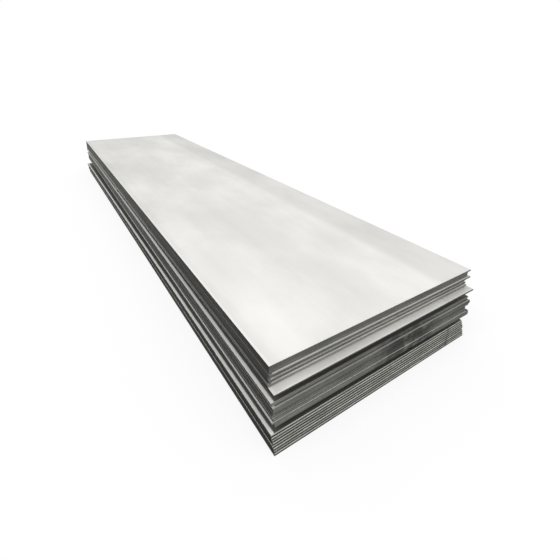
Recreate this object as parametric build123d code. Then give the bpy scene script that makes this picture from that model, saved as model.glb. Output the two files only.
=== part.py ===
from build123d import *
import os

# A stack of hot-rolled steel plates as a stockyard keeps it: three lifts of loose plates, one on
# another, with timber spacers between the lifts so that slings can be passed through.
# Millimetres. X runs across the plates, Y along them, Z up. The origin is in the middle of the
# underside of the lowest plate, on the floor.

# Plates
plate_width = 1500.0
thick_plate_width = 1520.0
plate_length = 6000.0
thin_plate_thickness = 10.0
thick_plate_thickness = 18.0
rollover_radius = 2.0
edge_break = 0.8

# How far one plate may lie from the line of its lift, and how much narrower it may be
side_drift = 20.0
end_drift = 45.0
width_loss = 35.0
skew_degrees = 0.3

# Where each lift lies over the lowest plate
middle_lift_side_shift = -11.0
middle_lift_end_shift = -9.5
top_lift_side_shift = -9.0
top_lift_end_shift = 16.5

# Timber spacers
spacer_thickness = 48.0
spacer_width = 98.0
spacer_side_gap = 60.0
spacer_end_gap = 420.0
spacer_edge_radius = 3.0

# Spacers from the near end to the far end, as shares of their side gap, towards the right
lower_spacer_shares = [0.3, -0.2, 0.1, -0.4, 0.5, 0.0]
upper_spacer_shares = [-0.1, 0.4, -0.3, -1.0, 0.2, -0.4]

# Shares of the drifts above, plate by plate from the bottom of each lift to its top.
# Side is towards the right, end is towards the far end, loss is off the right edge.
bottom_side_shares = [0.0, -0.1, -0.2, -0.54, -0.42, -0.55, -0.75, -0.9]
bottom_end_shares = [0.0, 0.02, 0.0, 0.03, 0.01, 0.04, 0.02, 0.03]
bottom_loss_shares = [0.0, 0.1, 0.2, 0.3, 0.3, 0.45, 0.6, 0.75]
bottom_skew_shares = [1.0, 1.0, 0.95, 1.0, 1.0, 0.95, 1.0, 1.0]

middle_side_shares = [
    0.7, 0.6, 0.45, 0.25, -0.3, 0.0, -0.05, 0.0,
    0.05, 0.0, 0.1, 0.0, -0.1, 0.0, -0.35,
]
middle_end_shares = [
    -0.05, -0.14, -0.17, -0.15, -0.32, -0.22, -0.16, -0.1,
    -0.05, -0.2, -0.24, -0.27, -0.3, 0.0, 0.0,
]
middle_loss_shares = [
    0.0, 0.05, 0.05, 0.0, 0.7, 1.0, 1.0, 1.0,
    0.95, 0.4, 0.25, 0.15, 0.3, 0.9, 0.25,
]
middle_skew_shares = [
    0.0, 0.0, 0.0, 0.0, -0.2, 0.0, -0.17, 0.0,
    0.0, 0.0, 0.0, 0.0, -0.1, 0.0, 0.07,
]

top_side_shares = [-0.3, -0.05, -0.2, 0.0, 0.0, 0.05, 0.0, 0.05, -0.05, 0.0, 0.05, 0.0, 0.0]
top_end_shares = [-0.95, 0.2, 0.02, 0.26, 0.05, 0.28, 0.25, 0.24, -0.22, 0.0, 0.02, 0.0, 0.0]
top_loss_shares = [0.05, 0.45, 0.45, 0.65, 0.9, 0.5, 0.3, 0.15, 0.2, 0.95, 0.9, 0.85, 0.0]
top_skew_shares = [0.25, 0.0, -0.13, 0.0, 0.0, 0.0, 0.0, 0.0, -0.17, 0.0, 0.0, 0.0, 0.0]

os.makedirs("parts", exist_ok=True)


def sheared_plate(width, thickness):
    """One plate centred on the origin's Z axis, its underside at zero, with the soft upper edge
    and the broken lower edge that a shear leaves."""
    plate = extrude(Rectangle(width, plate_length), thickness)
    upper_edges = plate.faces().sort_by(Axis.Z)[-1].edges()
    plate = fillet(upper_edges, rollover_radius)
    lower_edges = plate.faces().sort_by(Axis.Z)[0].edges()
    return chamfer(lower_edges, edge_break)


def lay_lift(
    name,
    base,
    full_width,
    thickness,
    side_shift,
    end_shift,
    side_shares,
    end_shares,
    loss_shares,
    skew_shares,
):
    """Lay one lift of plates from its base up, write each plate, and return the height reached."""
    rows = zip(side_shares, end_shares, loss_shares, skew_shares)
    for number, (side, end, loss, skew) in enumerate(rows, 1):
        width = full_width - loss * width_loss
        across = side_shift + side * side_drift - (full_width - width) / 2
        along = end_shift + end * end_drift
        place = Location((across, along, base), (0, 0, skew * skew_degrees))
        plate = place * sheared_plate(width, thickness)
        export_step(plate, f"parts/{name}_plate_{number:02d}.step")
        base += thickness
    return base


def lay_spacers(name, base, side_shift, end_shift, side_shares):
    """Lay one layer of spacers across the lift below, write each, and return the height reached."""
    length = plate_width - width_loss - 2 * spacer_side_gap
    reach = plate_length - 2 * spacer_end_gap - spacer_width
    pitch = reach / (len(side_shares) - 1)
    section = RectangleRounded(spacer_width, spacer_thickness, spacer_edge_radius)
    batten = extrude(Plane.YZ * section, length / 2, both=True)
    for number, side in enumerate(side_shares):
        across = side_shift + side * spacer_side_gap - width_loss / 2
        along = end_shift - reach / 2 + number * pitch
        place = Location((across, along, base + spacer_thickness / 2))
        export_step(place * batten, f"parts/{name}_spacer_{number + 1}.step")
    return base + spacer_thickness


height = lay_lift(
    "bottom",
    0.0,
    thick_plate_width,
    thick_plate_thickness,
    0.0,
    0.0,
    bottom_side_shares,
    bottom_end_shares,
    bottom_loss_shares,
    bottom_skew_shares,
)
height = lay_spacers("lower", height, 0.0, 0.0, lower_spacer_shares)
height = lay_lift(
    "middle",
    height,
    plate_width,
    thin_plate_thickness,
    middle_lift_side_shift,
    middle_lift_end_shift,
    middle_side_shares,
    middle_end_shares,
    middle_loss_shares,
    middle_skew_shares,
)
height = lay_spacers(
    "upper",
    height,
    middle_lift_side_shift,
    middle_lift_end_shift,
    upper_spacer_shares,
)
height = lay_lift(
    "top",
    height,
    plate_width,
    thin_plate_thickness,
    top_lift_side_shift,
    top_lift_end_shift,
    top_side_shares,
    top_end_shares,
    top_loss_shares,
    top_skew_shares,
)
print("height", height)
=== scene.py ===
import math
import random

import bmesh
import bpy
from mathutils import Matrix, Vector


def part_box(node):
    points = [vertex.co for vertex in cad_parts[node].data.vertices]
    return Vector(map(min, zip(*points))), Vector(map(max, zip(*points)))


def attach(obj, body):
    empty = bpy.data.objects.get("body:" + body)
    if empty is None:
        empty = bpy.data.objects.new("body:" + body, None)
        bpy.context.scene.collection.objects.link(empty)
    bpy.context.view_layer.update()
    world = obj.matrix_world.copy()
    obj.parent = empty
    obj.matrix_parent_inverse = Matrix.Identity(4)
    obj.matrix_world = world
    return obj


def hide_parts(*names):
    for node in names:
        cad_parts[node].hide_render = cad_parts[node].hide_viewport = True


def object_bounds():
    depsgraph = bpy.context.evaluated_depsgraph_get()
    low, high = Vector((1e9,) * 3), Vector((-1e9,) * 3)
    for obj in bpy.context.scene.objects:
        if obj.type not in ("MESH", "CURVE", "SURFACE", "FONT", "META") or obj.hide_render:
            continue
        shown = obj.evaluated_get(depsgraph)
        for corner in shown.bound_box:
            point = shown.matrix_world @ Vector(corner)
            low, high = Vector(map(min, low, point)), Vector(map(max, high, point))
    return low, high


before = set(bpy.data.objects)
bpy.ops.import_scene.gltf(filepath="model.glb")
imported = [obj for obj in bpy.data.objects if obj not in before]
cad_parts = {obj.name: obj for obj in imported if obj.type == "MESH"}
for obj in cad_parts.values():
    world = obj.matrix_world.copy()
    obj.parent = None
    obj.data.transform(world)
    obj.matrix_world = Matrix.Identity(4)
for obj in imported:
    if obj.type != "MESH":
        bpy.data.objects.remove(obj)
cad_low, cad_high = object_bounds()

# Metres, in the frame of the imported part: X across the plates, Y along them, Z up.
IMAGE_SIDE = 560.0
SENSOR_WIDTH = 36.0

# The camera stands at eye height off the near left corner and looks down along the stack.
FOCAL_PIXELS = 370.37
AXIS_COLUMN = 294.0
AXIS_ROW = 202.0
CAMERA_PLACE = (-1.3860, -4.0562, 1.7053)
CAMERA_YAW = -34.665
CAMERA_PITCH = -19.667
CAMERA_ROLL = -0.997

# Colours of the rolled skin, of a faint rusty bloom on it, and of the sheared edges
COOL_SKIN = (0.745, 0.738, 0.713, 1.0)
WARM_SKIN = (0.812, 0.805, 0.775, 1.0)
BLOOM_SKIN = (0.775, 0.745, 0.695, 1.0)
EDGE_TINT = (0.985, 1.0, 0.9, 1.0)

# How the skin changes over the length and the width of a plate
NEAR_END = -3.0
FAR_END = 3.0
LEFT_END = -0.75
RIGHT_END = 0.75
# Painted shade: the skin is painted darker toward the far end, more so on the left
FAR_LEFT_PAINTED_SHADE = 0.74
FAR_RIGHT_PAINTED_SHADE = 0.86
DULL_STRIP_FROM = 0.4
DULL_STRIP_TO = 0.49
LEFT_STRIP_FROM = -0.73
LEFT_STRIP_TO = -0.68
LEFT_DULLNESS = 0.94

# A rusty bloom that lies aslant over the plate, and a painted sheen that comes in waves along a
# band
BLOOM_X = 0.17
BLOOM_Y = 0.02
BLOOM_SLANT = 0.7
BLOOM_REACH_X = 0.45
BLOOM_REACH_Y = 0.26
BLOOM_CORE = 0.2
BLOOM_STRENGTH = 0.9
BLOOM_THINNEST = 0.3
SHEEN_X = -0.61
SHEEN_REACH = 0.2
SHEEN_FIRST = -2.8
SHEEN_PITCH = 1.45
SHEEN_DEPTH = 0.085
SHEEN_FAR_SHARE = 0.1

# How the edges and the skin change over the length and the width of the stack, with painted light
# on the left edges that grows toward the far end, and where painted shade on the skin begins
NEAR_LEFT_GAIN = 0.82
FAR_LEFT_GAIN = 2.3
PAINTED_SHADE_FADE = 0.009
PAINTED_SHADE_NEAR = -3.0105
TIP_FADE = 0.01
RAGGED_REACH = 0.006
STRIP_WANDER = 0.12

# Noise over the steel, as its scales per metre along X, Y and Z
CLOUDS = (2.2, 1.1, 40.0)
STREAKS = (9.0, 0.3, 40.0)
FINE_STREAKS = (120.0, 1.6, 40.0)
GRAIN = (420.0, 260.0, 420.0)
BLOOM_PATCHES = (7.0, 4.0, 40.0)
RAGGED_PATCHES = (30.0, 12.0, 40.0)
STAIN_RUNS = (14.0, 14.0, 9.0)
EDGE_CLOUDS = (5.0, 3.0, 30.0)
EDGE_LINES = (320.0, 320.0, 24.0)

# Its detail, how rough it is, and the values between which most of it keeps
CLOUD_DETAIL = 4.0
USUAL_DETAIL = 3.0
FINE_DETAIL = 2.0
CLOUD_ROUGHNESS = 0.55
USUAL_ROUGHNESS = 0.6
NOISE_MIDDLE = 0.5
NOISE_SPREAD = (0.3, 0.7)
STAIN_SPREAD = (0.35, 0.55)

# Shades that it gives the steel, from its low values to its high ones, and those of single plates
CLOUD_SHADES = (0.97, 1.026)
STREAK_SHADES = (0.98, 1.012)
FINE_STREAK_SHADES = (0.992, 1.006)
EDGE_CLOUD_SHADES = (0.8, 1.18)
EDGE_LINE_SHADES = (0.92, 1.07)
PLATE_SHADES = (0.85, 1.15)

# Gloss and relief of the steel. Bumps have a strength and a height in metres.
SKIN_ROUGHNESS = (0.52, 0.43)
EDGE_ROUGHNESS = (0.8, 0.68)
SKIN_METALLIC = 0.2
EDGE_METALLIC = 0.15
SPECULAR_LEVEL = 0.15
GRAIN_HEIGHT = 0.6
STEEL_BUMP = (0.3, 0.0004)

# How far a face has to turn up or down to be skin, and to a side to be on that side
SKIN_FACING = (0.9, 0.99)
SIDE_FROM = 0.3
SIDE_FULL = 0.7

TIMBER_SECTIONS = 48
CORNER_STEPS = 4
WORN_EDGE = 0.003
WORN_END = 0.0015
WORN_END_REACH = 0.004
WANE = 0.013
WANE_REACHES = (0.2, 0.5)
SAW_WANDER = 0.0012
SAW_WAVES = (1.0, 3.0)
CHECK_SHUT = 0.0004
CHECK_OPEN = 0.0011
CHECK_DEPTHS = (0.012, 0.034)
CHECK_REACHES = (0.05, 0.3)
CHECK_HEIGHTS = (-0.1, 0.1)
SHARP_DEGREES = 40.0

# The timber's rings and fibres, its colours, gloss and relief
PITH = (0.0, 0.02, 0.07)
RINGS = {"Scale": 46.0, "Distortion": 5.0, "Detail": 3.0, "Detail Scale": 1.4}
FIBRES = (9.0, 520.0, 520.0)
WEATHER_PATCHES = (1.5, 9.0, 9.0)
WEATHER_SPREAD = (0.35, 0.7)
DARK_GRAIN = (0.31, 0.285, 0.25, 1.0)
PALE_GRAIN = (0.46, 0.43, 0.385, 1.0)
GREY_GRAIN = (0.4, 0.39, 0.37, 1.0)
FIBRE_SHADES = (0.8, 1.1)
TIMBER_ROUGHNESS = (0.85, 0.7)
TIMBER_BUMP = (0.5, 0.0008)

# The studio. Each lamp has the azimuth and the elevation that it shines from, its width and its
# strength. Azimuth 0 is -Y and 90 is +X.
WHITE = (1.0, 1.0, 1.0, 1.0)
FLOOR_SIDE = 160.0
FLOOR_DROP = 0.0005
FLOOR_BOUNCE = (0.25, 0.25, 0.25, 1.0)
FLOOR_PAINT = (0.96, 0.96, 0.96, 1.0)
FLOOR_GLOW = 0.8
SKY_LEVEL = 0.45
VIEW_REACH = 500.0
LAMPS = {
    "key": (285.0, 52.0, 40.0, 1.4),
    "front": (10.0, 50.0, 50.0, 0.7),
    "overhead": (190.0, 65.0, 60.0, 0.4),
}

# How each lift looks. End gives the shades of its sheared ends, at the left and from the middle on,
# and left and right those of its long sides, partly painted shade: the left sides are painted much
# darker than the right. Steps run up the thickness of one plate, burnished above and torn below,
# darkest at the seam as painted shade. The next three give where the painted-lit strip along the
# left ends, how far that strip turns from the Y axis, and the painted shade of the skin beyond it,
# in the gaps. Edges, for the sheared edges, the shades along that strip, and tones, for all skin,
# run up the lift as painted light and shade by level. Tip is painted light on the skin that sticks
# out at the near end, and dull the shade of the strip along the right. Stain is the middle of a
# dark stain on the near end, how far it reaches in full and at most, and its strength.
LOOKS = {
    "bottom": {
        "end": (0.62, 0.6),
        "left": 0.07,
        "right": 0.3,
        "steps": ((0.0, 0.03), (0.06, 0.05), (0.5, 0.08), (0.64, 0.9), (0.92, 1.0), (1.0, 0.7)),
        "painted_shade_from": -0.765,
        "askew": 0.00524,
        "painted_gap_shade": 0.13,
        "edges": ((0.0, 1.0), (1.0, 1.0)),
        "painted_strip_shades": ((0.0, 0.9), (0.9, 0.9), (0.97, 1.25)),
        "tones": ((0.0, 1.0), (1.0, 1.0)),
        "tip": 0.6,
        "dull": 1.0,
        "stain": (0.58, 0.004, 0.02, 0.4),
    },
    "middle": {
        "end": (0.31, 0.235),
        "left": 0.055,
        "right": 0.25,
        "steps": ((0.0, 0.6), (0.12, 0.8), (0.5, 0.85), (0.7, 0.95), (1.0, 1.0)),
        "painted_shade_from": -0.7535,
        "askew": 0.0,
        "painted_gap_shade": 0.13,
        "edges": ((0.33, 1.0), (0.36, 0.82), (0.79, 0.82), (0.82, 1.0)),
        "painted_strip_shades": ((0.0, 0.7), (0.93, 0.7), (0.97, 1.05)),
        "tones": (
            (0.27, 0.6), (0.32, 1.25), (0.345, 1.25), (0.38, 0.45),
            (0.82, 0.5), (0.86, 1.05), (1.0, 1.0),
        ),
        "tip": 0.58,
        "dull": 1.0,
        "stain": (0.14, 0.1, 0.32, 0.6),
    },
    "top": {
        "end": (0.19, 0.19),
        "left": 0.042,
        "right": 0.22,
        "steps": ((0.0, 0.6), (0.12, 0.88), (0.5, 0.93), (0.65, 0.98), (1.0, 1.0)),
        "painted_shade_from": -0.75,
        "askew": 0.0,
        "painted_gap_shade": 1.0,
        "edges": ((0.07, 0.4), (0.085, 1.5), (0.215, 1.5), (0.235, 1.0)),
        "painted_strip_shades": ((0.08, 1.15), (0.12, 0.3), (0.95, 0.3), (0.98, 1.1)),
        "tones": (
            (0.08, 0.92), (0.14, 1.1), (0.62, 1.1), (0.68, 0.8),
            (0.7, 0.8), (0.76, 1.0), (1.0, 1.0),
        ),
        "tip": 1.13,
        "dull": 0.87,
        "stain": (0.0, 0.1, 0.2, 0.0),
    },
}

scene = bpy.context.scene
scene.view_settings.view_transform = "Standard"


class Net:
    """The nodes of one material or of the world, added and joined one at a time."""

    def __init__(self, tree):
        self.tree = tree
        tree.nodes.clear()

    def node(self, kind, **settings):
        made = self.tree.nodes.new(kind)
        for key, value in settings.items():
            setattr(made, key, value)
        return made

    def feed(self, socket, value):
        if isinstance(value, bpy.types.NodeSocket):
            self.tree.links.new(value, socket)
        else:
            socket.default_value = value

    def split(self, vector):
        made = self.node("ShaderNodeSeparateXYZ")
        self.feed(made.inputs[0], vector)
        return made.outputs

    def sum(self, operation, first, second=0.0):
        made = self.node("ShaderNodeMath", operation=operation)
        self.feed(made.inputs[0], first)
        self.feed(made.inputs[1], second)
        return made.outputs[0]

    def product(self, *values):
        total = values[0]
        for value in values[1:]:
            total = self.sum("MULTIPLY", total, value)
        return total

    def span(self, value, low, high, out_low=0.0, out_high=1.0, smooth=True):
        """Value from low to high as a share, eased, put between out_low and out_high."""
        kind = "SMOOTHSTEP" if smooth else "LINEAR"
        made = self.node("ShaderNodeMapRange", interpolation_type=kind)
        self.feed(made.inputs["Value"], value)
        self.feed(made.inputs["From Min"], low)
        self.feed(made.inputs["From Max"], high)
        self.feed(made.inputs["To Min"], out_low)
        self.feed(made.inputs["To Max"], out_high)
        return made.outputs[0]

    def sway(self, noise, low, high):
        """A noise, which keeps near its middle, put between low and high."""
        return self.span(noise, *NOISE_SPREAD, low, high)

    def stretch(self, vector, scale):
        made = self.node("ShaderNodeVectorMath", operation="MULTIPLY")
        self.feed(made.inputs[0], vector)
        self.feed(made.inputs[1], scale)
        return made.outputs[0]

    def shift(self, vector, offset):
        made = self.node("ShaderNodeVectorMath", operation="ADD")
        self.feed(made.inputs[0], vector)
        self.feed(made.inputs[1], offset)
        return made.outputs[0]

    def noise(self, vector, stretch, detail=USUAL_DETAIL, roughness=USUAL_ROUGHNESS):
        made = self.node("ShaderNodeTexNoise", noise_dimensions="3D")
        self.feed(made.inputs["Vector"], self.stretch(vector, stretch))
        self.feed(made.inputs["Scale"], 1.0)
        self.feed(made.inputs["Detail"], detail)
        self.feed(made.inputs["Roughness"], roughness)
        return made.outputs["Fac"]

    def mix(self, share, first, second):
        made = self.node("ShaderNodeMix", data_type="FLOAT")
        self.feed(made.inputs["Factor"], share)
        self.feed(made.inputs[2], first)
        self.feed(made.inputs[3], second)
        return made.outputs[0]

    def blend(self, share, first, second, kind="MIX"):
        made = self.node("ShaderNodeMix", data_type="RGBA", blend_type=kind)
        self.feed(made.inputs["Factor"], share)
        self.feed(made.inputs[6], first)
        self.feed(made.inputs[7], second)
        return made.outputs[2]

    def ramp(self, value, stops):
        made = self.node("ShaderNodeValToRGB")
        points = made.color_ramp.elements
        while len(points) < len(stops):
            points.new(1.0)
        for point, (place, shade) in zip(points, stops):
            point.position = place
            point.color = (shade, shade, shade, 1.0)
        self.feed(made.inputs[0], value)
        return made.outputs[0]

    def bump(self, height, strength, distance):
        made = self.node("ShaderNodeBump")
        self.feed(made.inputs["Strength"], strength)
        self.feed(made.inputs["Distance"], distance)
        self.feed(made.inputs["Height"], height)
        return made.outputs[0]

    def choose(self, share, first, second):
        made = self.node("ShaderNodeMixShader")
        self.feed(made.inputs[0], share)
        self.feed(made.inputs[1], first.outputs[0])
        self.feed(made.inputs[2], second.outputs[0])
        return made

    def show(self, shader, kind="ShaderNodeOutputMaterial"):
        output = self.node(kind)
        self.feed(output.inputs["Surface"], shader.outputs[0])


class Spot:
    """Where a point of a lift lies: its place, its level counted in plates, and how it faces."""

    def __init__(self, net, lift):
        low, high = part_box(f"{lift}_plate_01")
        plates = sum(name.startswith(f"{lift}_plate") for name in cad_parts)
        self.place = net.node("ShaderNodeTexCoord").outputs["Object"]
        self.x, self.y, height = net.split(self.place)
        self.level = net.sum("DIVIDE", net.sum("SUBTRACT", height, low.z), high.z - low.z)
        self.share = net.sum("DIVIDE", self.level, plates)
        facing = net.split(net.node("ShaderNodeNewGeometry").outputs["Normal"])
        self.facing_x = facing["X"]
        self.facing_z = facing["Z"]


def new_material(name):
    material = bpy.data.materials.new(name)
    material.use_nodes = True
    return material, Net(material.node_tree)


def bloom_share(net, spot):
    """How much of the rusty bloom a point of the skin has."""
    off_x = net.sum("SUBTRACT", spot.x, BLOOM_X)
    line = net.sum("ADD", net.sum("MULTIPLY", off_x, BLOOM_SLANT), BLOOM_Y)
    along = net.sum("ABSOLUTE", net.sum("DIVIDE", off_x, BLOOM_REACH_X))
    off_line = net.sum("SUBTRACT", spot.y, line)
    aside = net.sum("ABSOLUTE", net.sum("DIVIDE", off_line, BLOOM_REACH_Y))
    patches = net.noise(spot.place, BLOOM_PATCHES, CLOUD_DETAIL)
    return net.product(
        net.span(along, BLOOM_CORE, 1.0, BLOOM_STRENGTH, 0.0),
        net.span(aside, 0.0, 1.0, 1.0, 0.0),
        net.sway(patches, BLOOM_THINNEST, 1.0),
    )


def painted_sheen(net, spot):
    """Shade of the painted sheen: a band near the left, lighter and darker in waves along the
    plate.
    """
    sheen_waves = net.sum("DIVIDE", net.sum("SUBTRACT", spot.y, SHEEN_FIRST), SHEEN_PITCH)
    wave = net.sum("COSINE", net.sum("MULTIPLY", sheen_waves, 2.0 * math.pi))
    away = net.sum("ABSOLUTE", net.sum("SUBTRACT", spot.x, SHEEN_X))
    band = net.span(away, 0.0, SHEEN_REACH, SHEEN_DEPTH, 0.0)
    fade = net.span(spot.y, NEAR_END, FAR_END, 1.0, SHEEN_FAR_SHARE)
    return net.sum("ADD", 1.0, net.product(wave, band, fade))


def painted_skin_shade(net, spot, look):
    """Painted light and shade on the skin: pale along the left and at the tips, dark in the gaps,
    by level.
    """
    patches = net.noise(spot.place, RAGGED_PATCHES)
    off_middle = net.sum("SUBTRACT", patches, NOISE_MIDDLE)
    ragged = net.sum("MULTIPLY", off_middle, RAGGED_REACH)
    turned = net.sum("MULTIPLY", spot.y, look["askew"])
    inward = net.sum("ADD", net.sum("ADD", spot.x, turned), ragged)
    strip = net.span(inward, look["painted_shade_from"], look["painted_shade_from"] + PAINTED_SHADE_FADE, 1.0, 0.0)
    tip = net.span(spot.y, PAINTED_SHADE_NEAR - TIP_FADE, PAINTED_SHADE_NEAR, 1.0, 0.0)
    shade = net.mix(strip, look["painted_gap_shade"], net.ramp(spot.share, look["painted_strip_shades"]))
    shade = net.mix(tip, shade, look["tip"])
    return net.sum("MULTIPLY", shade, net.ramp(spot.share, look["tones"]))


def rolled_skin(net, spot, look):
    """Colour, roughness and height of the pale skin: clouds, streaks, a fine grain and painted
    light and shade.
    """
    clouds = net.noise(spot.place, CLOUDS, CLOUD_DETAIL, CLOUD_ROUGHNESS)
    streaks = net.noise(spot.place, STREAKS)
    fine_streaks = net.noise(spot.place, FINE_STREAKS, FINE_DETAIL)
    grain = net.noise(spot.place, GRAIN, FINE_DETAIL)
    off_middle = net.sum("SUBTRACT", clouds, NOISE_MIDDLE)
    wander = net.sum("MULTIPLY", off_middle, STRIP_WANDER)
    across = net.sum("ADD", spot.x, wander)
    # Painted shade: darker toward the far end, more so on the left
    far_painted_shade = net.span(spot.x, LEFT_END, RIGHT_END, FAR_LEFT_PAINTED_SHADE, FAR_RIGHT_PAINTED_SHADE)
    shade = net.product(
        net.sway(clouds, *CLOUD_SHADES),
        net.sway(streaks, *STREAK_SHADES),
        net.sway(fine_streaks, *FINE_STREAK_SHADES),
        net.span(across, DULL_STRIP_FROM, DULL_STRIP_TO, 1.0, look["dull"]),
        net.span(across, LEFT_STRIP_FROM, LEFT_STRIP_TO, LEFT_DULLNESS, 1.0),
        net.span(spot.y, NEAR_END, FAR_END, 1.0, far_painted_shade, False),
        painted_sheen(net, spot),
        painted_skin_shade(net, spot, look),
    )
    colour = net.blend(net.sway(clouds, 0.0, 1.0), COOL_SKIN, WARM_SKIN)
    colour = net.blend(bloom_share(net, spot), colour, BLOOM_SKIN)
    colour = net.blend(1.0, colour, shade, "MULTIPLY")
    height = net.sum("ADD", net.sum("MULTIPLY", grain, GRAIN_HEIGHT), fine_streaks)
    return colour, net.sway(clouds, *SKIN_ROUGHNESS), height


def stain_shade(net, spot, look):
    """A dark stain that has run down the near end."""
    middle, full_reach, reach, strength = look["stain"]
    away = net.sum("ABSOLUTE", net.sum("SUBTRACT", spot.x, middle))
    near = net.span(spot.y, NEAR_END / 2, 0.0, strength, 0.0)
    runs = net.span(net.noise(spot.place, STAIN_RUNS, CLOUD_DETAIL), *STAIN_SPREAD)
    stain = net.product(net.span(away, full_reach, reach, 1.0, 0.0), near, runs)
    return net.sum("SUBTRACT", 1.0, stain)


def side_painted_shade(net, spot, look):
    """Painted shade of the sheared edges by side: the left much darker than the right, lighter far
    away.
    """
    end_left, end_middle = look["end"]
    end = net.span(spot.x, LEFT_END, 0.0, end_left, end_middle, False)
    gain = net.span(spot.y, NEAR_END, FAR_END, NEAR_LEFT_GAIN, FAR_LEFT_GAIN, False)
    left = net.sum("MULTIPLY", gain, look["left"])
    on_left = net.span(spot.facing_x, -SIDE_FULL, -SIDE_FROM, 1.0, 0.0)
    on_right = net.span(spot.facing_x, SIDE_FROM, SIDE_FULL)
    return net.mix(on_left, net.mix(on_right, end, look["right"]), left)


def sheared_edge(net, spot, look):
    """Colour, roughness and height of the edges: burnished above, torn below, fine lines, and
    painted shade.
    """
    chance = net.node("ShaderNodeTexWhiteNoise", noise_dimensions="1D")
    net.feed(chance.inputs["W"], net.sum("FLOOR", spot.level))
    clouds = net.noise(spot.place, EDGE_CLOUDS, CLOUD_DETAIL)
    lines = net.noise(spot.place, EDGE_LINES, FINE_DETAIL)
    shade = net.product(
        net.span(chance.outputs["Value"], 0.0, 1.0, *PLATE_SHADES, False),
        net.ramp(net.sum("FRACT", spot.level), look["steps"]),
        net.sway(clouds, *EDGE_CLOUD_SHADES),
        net.sway(lines, *EDGE_LINE_SHADES),
        net.ramp(spot.share, look["edges"]),
        side_painted_shade(net, spot, look),
        stain_shade(net, spot, look),
    )
    colour = net.blend(1.0, EDGE_TINT, shade, "MULTIPLY")
    return colour, net.sway(lines, *EDGE_ROUGHNESS), lines


def plate_material(name, lift, look):
    """Hot-rolled plate: a pale rolled skin above and below, and darker sheared edges."""
    material, net = new_material(name)
    spot = Spot(net, lift)
    skin_colour, skin_rough, skin_height = rolled_skin(net, spot, look)
    edge_colour, edge_rough, edge_height = sheared_edge(net, spot, look)
    skin = net.span(net.sum("ABSOLUTE", spot.facing_z), *SKIN_FACING)
    shader = net.node("ShaderNodeBsdfPrincipled")
    net.feed(shader.inputs["Base Color"], net.blend(skin, edge_colour, skin_colour))
    net.feed(shader.inputs["Metallic"], net.mix(skin, EDGE_METALLIC, SKIN_METALLIC))
    net.feed(shader.inputs["Specular IOR Level"], SPECULAR_LEVEL)
    net.feed(shader.inputs["Roughness"], net.mix(skin, edge_rough, skin_rough))
    height = net.mix(skin, edge_height, skin_height)
    net.feed(shader.inputs["Normal"], net.bump(height, *STEEL_BUMP))
    net.show(shader)
    return material


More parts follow.
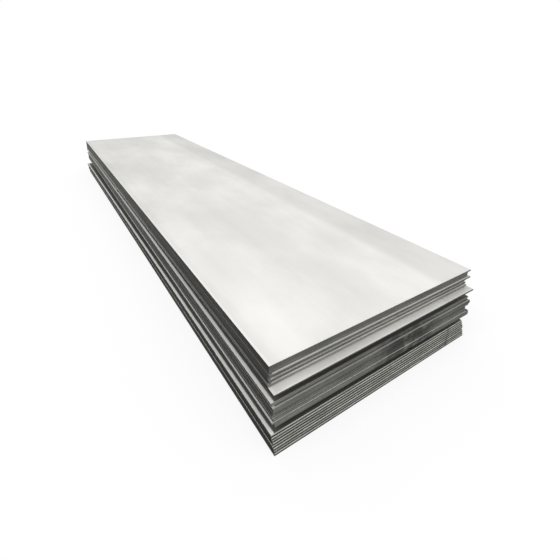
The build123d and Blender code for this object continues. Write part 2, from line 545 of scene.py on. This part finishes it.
class Batten:
    """One sawn timber spacer that lies along X, in metres from its own middle."""

    def __init__(self, name):
        low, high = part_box(name)
        self.middle = (low + high) / 2
        self.length, self.width, self.height = high - low
        chance = random.Random(name)
        self.waney_corner = chance.randrange(4)
        self.wane_middle = chance.uniform(0.0, 1.0)
        self.wane_reach = chance.uniform(*WANE_REACHES)
        self.saw_waves = [
            (chance.uniform(*SAW_WAVES), chance.uniform(0.0, 1.0)) for side in range(2)
        ]
        self.check_heights = [chance.uniform(*CHECK_HEIGHTS) for side in range(2)]
        self.checks = [
            [(chance.uniform(*CHECK_DEPTHS), chance.uniform(*CHECK_REACHES)) for end in range(2)]
            for side in range(2)
        ]

    def corner_radius(self, corner, share):
        """The corners are worn, and one has lost more where the bark was."""
        if corner != self.waney_corner:
            return WORN_EDGE
        away = (share - self.wane_middle) / self.wane_reach
        return WORN_EDGE + WANE * max(0.0, 1.0 - away * away)

    def saw_loss(self, side, share):
        waves, start = self.saw_waves[side]
        return SAW_WANDER * (1.0 + math.sin(2.0 * math.pi * (waves * share + start))) / 2

    def check_depth(self, side, share):
        """Depth of the split along one side, which closes away from each end."""
        depth = 0.0
        for (full_depth, reach), from_end in zip(self.checks[side], (share, 1.0 - share)):
            depth = max(depth, full_depth * (1.0 - from_end * self.length / reach))
        return depth

    def corner(self, number, share, half_width, half_height):
        """Points round one corner of a section, as Y and Z, counted from the lower right."""
        toward_y = 1.0 if number < 2 else -1.0
        toward_z = 1.0 if number in (1, 2) else -1.0
        radius = self.corner_radius(number, share)
        points = []
        for step in range(CORNER_STEPS + 1):
            angle = math.radians(90.0 * (number - 1 + step / CORNER_STEPS))
            across = toward_y * (half_width - radius) + radius * math.cos(angle)
            up = toward_z * (half_height - radius) + radius * math.sin(angle)
            points.append((across, up))
        return points

    def check(self, side, share, half_width):
        """Points of the split in one side of a section, on the way round."""
        toward = 1.0 if side == 0 else -1.0
        depth = self.check_depth(side, share)
        lip = CHECK_SHUT + (CHECK_OPEN - CHECK_SHUT) * depth / CHECK_DEPTHS[1]
        up = self.check_heights[side] * self.height
        return [
            (toward * half_width, up - toward * lip),
            (toward * (half_width - depth), up),
            (toward * half_width, up + toward * lip),
        ]

    def section(self, share, worn):
        half_height = self.height / 2 - worn
        points = []
        for side in range(2):
            half_width = self.width / 2 - worn - self.saw_loss(side, share)
            points += self.corner(2 * side, share, half_width, half_height)
            points += self.check(side, share, half_width)
            points += self.corner(2 * side + 1, share, half_width, half_height)
        return points

    def stations(self):
        """Places along the batten as shares of its length, each with what is worn off there."""
        end = WORN_END_REACH / self.length
        inner = [
            end + (1.0 - 2.0 * end) * step / TIMBER_SECTIONS
            for step in range(TIMBER_SECTIONS + 1)
        ]
        return [(0.0, WORN_END)] + [(share, 0.0) for share in inner] + [(1.0, WORN_END)]

    def mesh(self, name):
        shape = bmesh.new()
        rings = []
        for share, worn in self.stations():
            along = (share - 0.5) * self.length
            rings.append([shape.verts.new((along, *point)) for point in self.section(share, worn)])
        for near, far in zip(rings, rings[1:]):
            for here in range(len(near)):
                shape.faces.new((near[here - 1], near[here], far[here], far[here - 1]))
        ends = [shape.faces.new(rings[0]), shape.faces.new(rings[-1])]
        bmesh.ops.recalc_face_normals(shape, faces=shape.faces)
        bmesh.ops.triangulate(shape, faces=ends, ngon_method="EAR_CLIP")
        mesh = bpy.data.meshes.new(name)
        shape.to_mesh(mesh)
        shape.free()
        mesh.shade_smooth()
        mesh.set_sharp_from_angle(angle=math.radians(SHARP_DEGREES))
        return mesh


def add_timber(spacer, material):
    """Put a sawn batten where a plain spacer lies."""
    batten = Batten(spacer)
    name = spacer.replace("spacer", "timber")
    piece = bpy.data.objects.new(name, batten.mesh(name))
    piece.location = batten.middle
    piece.data.materials.append(material)
    scene.collection.objects.link(piece)
    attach(piece, "root")
    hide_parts(spacer)


def timber_material(name):
    """Sawn softwood battens, weathered grey, with their grain along X and rings on the ends."""
    material, net = new_material(name)
    local = net.node("ShaderNodeTexCoord").outputs["Object"]
    place = net.shift(local, net.node("ShaderNodeObjectInfo").outputs["Location"])
    weather = net.noise(place, WEATHER_PATCHES)
    rings = net.node("ShaderNodeTexWave", wave_type="RINGS", rings_direction="X")
    net.feed(rings.inputs["Vector"], net.shift(local, PITH))
    for setting, value in RINGS.items():
        net.feed(rings.inputs[setting], value)
    fibres = net.noise(place, FIBRES, FINE_DETAIL)
    grain = net.blend(rings.outputs["Fac"], DARK_GRAIN, PALE_GRAIN)
    grey = net.blend(net.span(weather, *WEATHER_SPREAD), grain, GREY_GRAIN)
    colour = net.blend(1.0, grey, net.sway(fibres, *FIBRE_SHADES), "MULTIPLY")
    shader = net.node("ShaderNodeBsdfPrincipled")
    net.feed(shader.inputs["Base Color"], colour)
    net.feed(shader.inputs["Roughness"], net.sway(fibres, *TIMBER_ROUGHNESS))
    height = net.sum("ADD", fibres, rings.outputs["Fac"])
    net.feed(shader.inputs["Normal"], net.bump(height, *TIMBER_BUMP))
    net.show(shader)
    return material


def seen_directly(net):
    """One for rays that show the background: those of the camera, of gloss and of glass."""
    path = net.node("ShaderNodeLightPath")
    seen = net.sum("MAXIMUM", path.outputs["Is Camera Ray"], path.outputs["Is Glossy Ray"])
    return net.sum("MAXIMUM", seen, path.outputs["Is Transmission Ray"])


def floor_material(name):
    """White where it is seen, with the stack's shadow, and grey in the light that it sends on."""
    material, net = new_material(name)
    bounce = net.node("ShaderNodeBsdfDiffuse")
    net.feed(bounce.inputs["Color"], FLOOR_BOUNCE)
    shown = net.node("ShaderNodeBsdfDiffuse")
    net.feed(shown.inputs["Color"], FLOOR_PAINT)
    white = net.node("ShaderNodeEmission")
    net.feed(white.inputs["Strength"], 1.0)
    lit = net.choose(FLOOR_GLOW, shown, white)
    net.show(net.choose(seen_directly(net), bounce, lit))
    return material


def add_floor():
    mesh = bpy.data.meshes.new("floor")
    half = FLOOR_SIDE / 2
    corners = [(-half, -half, 0.0), (half, -half, 0.0), (half, half, 0.0), (-half, half, 0.0)]
    mesh.from_pydata(corners, [], [(0, 1, 2, 3)])
    floor = bpy.data.objects.new("floor", mesh)
    floor.location.z = cad_low.z - FLOOR_DROP
    mesh.materials.append(floor_material("floor_white"))
    scene.collection.objects.link(floor)


def add_world():
    world = bpy.data.worlds.new("studio")
    world.use_nodes = True
    scene.world = world
    net = Net(world.node_tree)
    soft = net.node("ShaderNodeBackground")
    net.feed(soft.inputs["Color"], WHITE)
    net.feed(soft.inputs["Strength"], SKY_LEVEL)
    white = net.node("ShaderNodeBackground")
    net.feed(white.inputs["Color"], WHITE)
    net.show(net.choose(seen_directly(net), soft, white), "ShaderNodeOutputWorld")


def add_sun(name, azimuth, elevation, width, strength):
    """A wide soft light from far away."""
    data = bpy.data.lights.new(name, "SUN")
    data.angle = math.radians(width)
    data.energy = strength
    sun = bpy.data.objects.new(name, data)
    turn = Matrix.Rotation(math.radians(azimuth), 4, "Z")
    sun.matrix_world = turn @ Matrix.Rotation(math.radians(90.0 - elevation), 4, "X")
    scene.collection.objects.link(sun)


def add_camera():
    data = bpy.data.cameras.new("camera")
    data.sensor_width = SENSOR_WIDTH
    data.lens = FOCAL_PIXELS / IMAGE_SIDE * SENSOR_WIDTH
    data.shift_x = (IMAGE_SIDE / 2 - AXIS_COLUMN) / IMAGE_SIDE
    data.shift_y = (AXIS_ROW - IMAGE_SIDE / 2) / IMAGE_SIDE
    data.clip_end = VIEW_REACH
    camera = bpy.data.objects.new("camera", data)
    turn = Matrix.Rotation(math.radians(CAMERA_YAW), 4, "Z")
    turn = turn @ Matrix.Rotation(math.radians(CAMERA_PITCH), 4, "X")
    turn = turn @ Matrix.Rotation(math.radians(CAMERA_ROLL), 4, "Y")
    turn = turn @ Matrix.Rotation(math.radians(90.0), 4, "X")
    camera.matrix_world = Matrix.Translation(CAMERA_PLACE) @ turn
    scene.collection.objects.link(camera)
    scene.camera = camera


steels = {lift: plate_material(f"{lift}_steel", lift, look) for lift, look in LOOKS.items()}
timber = timber_material("spacer_timber")
for name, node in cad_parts.items():
    if "spacer" in name:
        add_timber(name, timber)
    node.data.materials.clear()
    node.data.materials.append(timber if "spacer" in name else steels[name.split("_")[0]])

add_floor()
add_world()
for name, lamp in LAMPS.items():
    add_sun(name, *lamp)
add_camera()
